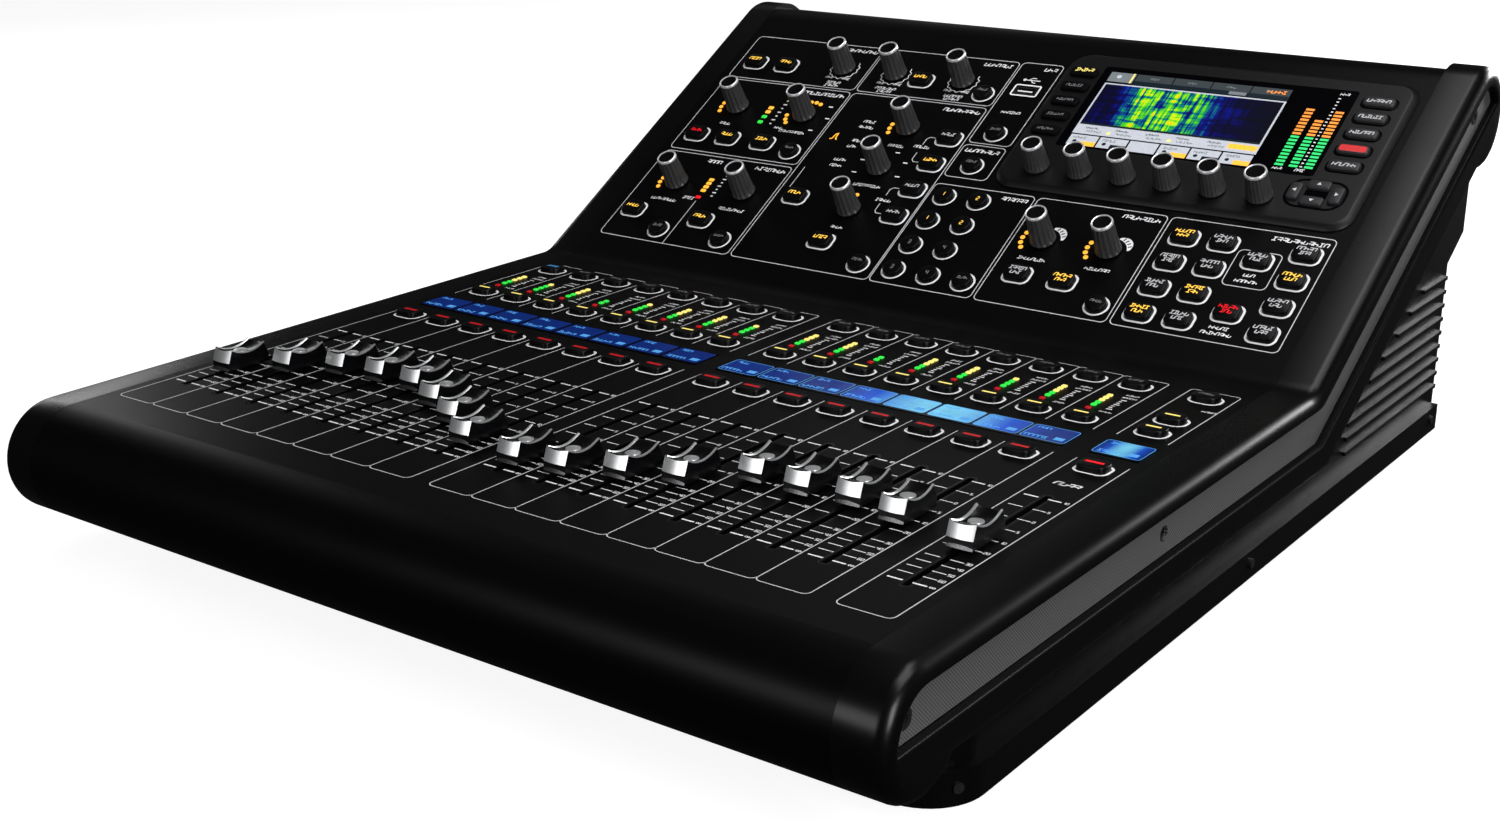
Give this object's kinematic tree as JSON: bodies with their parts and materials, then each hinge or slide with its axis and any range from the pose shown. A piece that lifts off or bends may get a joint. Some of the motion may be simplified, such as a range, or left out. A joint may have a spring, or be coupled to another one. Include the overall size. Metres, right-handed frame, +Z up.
{
  "type": "digital mixing console",
  "caption": "Desktop audio mixing console: a flat bed of motorised faders, keys and small displays, a raised control panel with knobs and a colour screen, and round-edged side cheeks.",
  "frame": {"origin": "on the table, midway between the sides and midway between the nose and the rear curl", "axes": "+X to the operator's right, +Y to the rear, +Z up"},
  "size_m": [0.478, 0.6175, 0.2074],
  "materials": {
    "case_paint": "fine-texture satin black paint",
    "shell_paint": "fine-texture satin black paint",
    "cheek_paint": "moulded, satin black",
    "mesh_grey": "fine perforated grey mesh",
    "bezel_plastic": "satin dark grey",
    "screen_glass": "clear gloss over a lit display",
    "blue_display": "small lit blue displays",
    "key_plastic": "satin dark grey",
    "page_key_plastic": "satin grey",
    "knob_plastic": "fluted dark grey",
    "knob_ring": "bright ring",
    "fader_silver": "silver moulding",
    "fader_black": "black moulding",
    "marking_white": "printed lines and marks",
    "lamp_amber": "lit amber",
    "lamp_red": "lit red",
    "lamp_green": "lit green",
    "lamp_blue": "lit blue",
    "rubber": "matt",
    "fastener_steel": "darkened steel",
    "socket_plastic": "moulded black",
    "contact_metal": "plated contacts",
    "green_board": "coated circuit board",
    "supply_metal": "bare folded sheet",
    "track_metal": "pressed steel"
  },
  "bodies": {
    "console": {"base_pan": "case_paint", "rear_panel": "case_paint", "top_shell": "shell_paint", "left_cheek": "cheek_paint", "right_cheek": "cheek_paint", "side_strips": "mesh_grey", "display_bezel": "bezel_plastic", "display_screen": "screen_glass", "scribble_screens": "blue_display", "feet": "rubber", "screws": "fastener_steel", "xlr_sockets": "socket_plastic", "rear_sockets": "socket_plastic", "mains_inlet": "socket_plastic", "circuit_boards": "green_board", "power_supply": "supply_metal", "fader_mechanisms": "track_metal", "encoder_bodies": "track_metal"},
    "fader_1": {"fader_cap_1": "fader_silver"},
    "fader_2": {"fader_cap_2": "fader_silver"},
    "fader_3": {"fader_cap_3": "fader_silver"},
    "fader_4": {"fader_cap_4": "fader_silver"},
    "fader_5": {"fader_cap_5": "fader_silver"},
    "fader_6": {"fader_cap_6": "fader_silver"},
    "fader_7": {"fader_cap_7": "fader_silver"},
    "fader_8": {"fader_cap_8": "fader_silver"},
    "fader_9": {"fader_cap_9": "fader_silver"},
    "fader_10": {"fader_cap_10": "fader_silver"},
    "fader_11": {"fader_cap_11": "fader_silver"},
    "fader_12": {"fader_cap_12": "fader_silver"},
    "fader_13": {"fader_cap_13": "fader_silver"},
    "fader_14": {"fader_cap_14": "fader_silver"},
    "fader_15": {"fader_cap_15": "fader_silver"},
    "fader_16": {"fader_cap_16": "fader_silver"},
    "fader_17": {"fader_cap_17": "fader_silver"},
    "talk_level_knob": {"knob_talk_level": "knob_plastic"},
    "monitor_level_knob": {"knob_monitor_level": "knob_plastic"},
    "phones_level_knob": {"knob_phones_level": "knob_plastic"},
    "preamp_gain_knob": {"knob_preamp_gain": "knob_plastic"},
    "low_cut_knob": {"knob_low_cut": "knob_plastic"},
    "gate_knob": {"knob_gate": "knob_plastic"},
    "dynamics_knob": {"knob_dynamics": "knob_plastic"},
    "eq_width_knob": {"knob_eq_width": "knob_plastic"},
    "eq_frequency_knob": {"knob_eq_frequency": "knob_plastic"},
    "eq_gain_knob": {"knob_eq_gain": "knob_plastic"},
    "main_level_knob": {"knob_main_level": "knob_plastic"},
    "pan_knob": {"knob_pan": "knob_plastic"},
    "display_1_knob": {"knob_display_1": "knob_plastic"},
    "display_2_knob": {"knob_display_2": "knob_plastic"},
    "display_3_knob": {"knob_display_3": "knob_plastic"},
    "display_4_knob": {"knob_display_4": "knob_plastic"},
    "display_5_knob": {"knob_display_5": "knob_plastic"},
    "display_6_knob": {"knob_display_6": "knob_plastic"},
    "strip_select_keys": {"strip_select_keys": "key_plastic"},
    "strip_solo_keys": {"strip_solo_keys": "key_plastic"},
    "strip_mute_keys": {"strip_mute_keys": "key_plastic"},
    "section_keys": {"section_keys": "key_plastic"},
    "round_keys": {"round_keys": "key_plastic"},
    "page_keys": {"page_keys": "page_key_plastic"},
    "rocker": {"power_rocker": "socket_plastic"}
  },
  "joints": [
    {"name": "fader_1_slide", "type": "slide", "parent": "console", "child": "fader_1", "axis": [0, 1, 0], "range_m": [-0.03162, 0.07038]},
    {"name": "fader_2_slide", "type": "slide", "parent": "console", "child": "fader_2", "axis": [0, 1, 0], "range_m": [-0.04794, 0.05406]},
    {"name": "fader_3_slide", "type": "slide", "parent": "console", "child": "fader_3", "axis": [0, 1, 0], "range_m": [-0.06018, 0.04182]},
    {"name": "fader_4_slide", "type": "slide", "parent": "console", "child": "fader_4", "axis": [0, 1, 0], "range_m": [-0.06324, 0.03876]},
    {"name": "fader_5_slide", "type": "slide", "parent": "console", "child": "fader_5", "axis": [0, 1, 0], "range_m": [-0.06324, 0.03876]},
    {"name": "fader_6_slide", "type": "slide", "parent": "console", "child": "fader_6", "axis": [0, 1, 0], "range_m": [-0.05202, 0.04998]},
    {"name": "fader_7_slide", "type": "slide", "parent": "console", "child": "fader_7", "axis": [0, 1, 0], "range_m": [-0.03978, 0.06222]},
    {"name": "fader_8_slide", "type": "slide", "parent": "console", "child": "fader_8", "axis": [0, 1, 0], "range_m": [-0.02346, 0.07854]},
    {"name": "fader_9_slide", "type": "slide", "parent": "console", "child": "fader_9", "axis": [0, 1, 0], "range_m": [-0.01632, 0.08568]},
    {"name": "fader_10_slide", "type": "slide", "parent": "console", "child": "fader_10", "axis": [0, 1, 0], "range_m": [-0.01938, 0.08262]},
    {"name": "fader_11_slide", "type": "slide", "parent": "console", "child": "fader_11", "axis": [0, 1, 0], "range_m": [-0.02958, 0.07242]},
    {"name": "fader_12_slide", "type": "slide", "parent": "console", "child": "fader_12", "axis": [0, 1, 0], "range_m": [-0.03876, 0.06324]},
    {"name": "fader_13_slide", "type": "slide", "parent": "console", "child": "fader_13", "axis": [0, 1, 0], "range_m": [-0.05916, 0.04284]},
    {"name": "fader_14_slide", "type": "slide", "parent": "console", "child": "fader_14", "axis": [0, 1, 0], "range_m": [-0.05814, 0.04386]},
    {"name": "fader_15_slide", "type": "slide", "parent": "console", "child": "fader_15", "axis": [0, 1, 0], "range_m": [-0.06018, 0.04182]},
    {"name": "fader_16_slide", "type": "slide", "parent": "console", "child": "fader_16", "axis": [0, 1, 0], "range_m": [-0.05508, 0.04692]},
    {"name": "fader_17_slide", "type": "slide", "parent": "console", "child": "fader_17", "axis": [0, 1, 0], "range_m": [-0.04692, 0.05508]},
    {"name": "talk_level_turn", "type": "hinge", "parent": "console", "child": "talk_level_knob", "pos_m": [-0.1332, 0.22631, 0.17929], "axis": [0, -0.5105, 0.8599], "range_deg": [-150, 150]},
    {"name": "monitor_level_turn", "type": "hinge", "parent": "console", "child": "monitor_level_knob", "pos_m": [-0.0962, 0.22631, 0.17929], "axis": [0, -0.5105, 0.8599], "range_deg": [-150, 150]},
    {"name": "phones_level_turn", "type": "hinge", "parent": "console", "child": "phones_level_knob", "pos_m": [-0.0494, 0.22631, 0.17929], "axis": [0, -0.5105, 0.8599], "range_deg": [-150, 150]},
    {"name": "preamp_gain_turn", "type": "hinge", "parent": "console", "child": "preamp_gain_knob", "pos_m": [-0.1855, 0.18693, 0.15591], "axis": [0, -0.5105, 0.8599], "continuous": true},
    {"name": "low_cut_turn", "type": "hinge", "parent": "console", "child": "low_cut_knob", "pos_m": [-0.1358, 0.18693, 0.15591], "axis": [0, -0.5105, 0.8599], "continuous": true},
    {"name": "gate_turn", "type": "hinge", "parent": "console", "child": "gate_knob", "pos_m": [-0.1855, 0.12519, 0.11925], "axis": [0, -0.5105, 0.8599], "continuous": true},
    {"name": "dynamics_turn", "type": "hinge", "parent": "console", "child": "dynamics_knob", "pos_m": [-0.1358, 0.12519, 0.11925], "axis": [0, -0.5105, 0.8599], "continuous": true},
    {"name": "eq_width_turn", "type": "hinge", "parent": "console", "child": "eq_width_knob", "pos_m": [-0.0623, 0.18693, 0.15591], "axis": [0, -0.5105, 0.8599], "continuous": true},
    {"name": "eq_frequency_turn", "type": "hinge", "parent": "console", "child": "eq_frequency_knob", "pos_m": [-0.0623, 0.15615, 0.13763], "axis": [0, -0.5105, 0.8599], "continuous": true},
    {"name": "eq_gain_turn", "type": "hinge", "parent": "console", "child": "eq_gain_knob", "pos_m": [-0.0623, 0.12519, 0.11925], "axis": [0, -0.5105, 0.8599], "continuous": true},
    {"name": "main_level_turn", "type": "hinge", "parent": "console", "child": "main_level_knob", "pos_m": [0.061, 0.12485, 0.11904], "axis": [0, -0.5105, 0.8599], "continuous": true},
    {"name": "pan_turn", "type": "hinge", "parent": "console", "child": "pan_knob", "pos_m": [0.0992, 0.12485, 0.11904], "axis": [0, -0.5105, 0.8599], "continuous": true},
    {"name": "display_1_turn", "type": "hinge", "parent": "console", "child": "display_1_knob", "pos_m": [0.0328, 0.16947, 0.14554], "axis": [0, -0.5105, 0.8599], "continuous": true},
    {"name": "display_2_turn", "type": "hinge", "parent": "console", "child": "display_2_knob", "pos_m": [0.0585, 0.16947, 0.14554], "axis": [0, -0.5105, 0.8599], "continuous": true},
    {"name": "display_3_turn", "type": "hinge", "parent": "console", "child": "display_3_knob", "pos_m": [0.0842, 0.16947, 0.14554], "axis": [0, -0.5105, 0.8599], "continuous": true},
    {"name": "display_4_turn", "type": "hinge", "parent": "console", "child": "display_4_knob", "pos_m": [0.1099, 0.16947, 0.14554], "axis": [0, -0.5105, 0.8599], "continuous": true},
    {"name": "display_5_turn", "type": "hinge", "parent": "console", "child": "display_5_knob", "pos_m": [0.1356, 0.16947, 0.14554], "axis": [0, -0.5105, 0.8599], "continuous": true},
    {"name": "display_6_turn", "type": "hinge", "parent": "console", "child": "display_6_knob", "pos_m": [0.1613, 0.16947, 0.14554], "axis": [0, -0.5105, 0.8599], "continuous": true},
    {"name": "strip_select_press", "type": "slide", "parent": "console", "child": "strip_select_keys", "axis": [0, 0, -1], "range_m": [0, 0.0011], "stiffness_N_per_m": 900, "springref_m": -0.0006},
    {"name": "strip_solo_press", "type": "slide", "parent": "console", "child": "strip_solo_keys", "axis": [0, 0, -1], "range_m": [0, 0.0011], "stiffness_N_per_m": 900, "springref_m": -0.0006},
    {"name": "strip_mute_press", "type": "slide", "parent": "console", "child": "strip_mute_keys", "axis": [0, 0, -1], "range_m": [0, 0.0011], "stiffness_N_per_m": 900, "springref_m": -0.0006},
    {"name": "section_press", "type": "slide", "parent": "console", "child": "section_keys", "axis": [0, 0.5105, -0.8599], "range_m": [0, 0.0011], "stiffness_N_per_m": 900, "springref_m": -0.0006},
    {"name": "round_press", "type": "slide", "parent": "console", "child": "round_keys", "axis": [0, 0.5105, -0.8599], "range_m": [0, 0.0011], "stiffness_N_per_m": 900, "springref_m": -0.0006},
    {"name": "page_press", "type": "slide", "parent": "console", "child": "page_keys", "axis": [0, 0.5105, -0.8599], "range_m": [0, 0.0011], "stiffness_N_per_m": 900, "springref_m": -0.0006},
    {"name": "rocker_tilt", "type": "hinge", "parent": "console", "child": "rocker", "pos_m": [0.207, 0.26184, 0.082], "axis": [1, 0, 0], "range_deg": [-16, 0]}
  ]
}
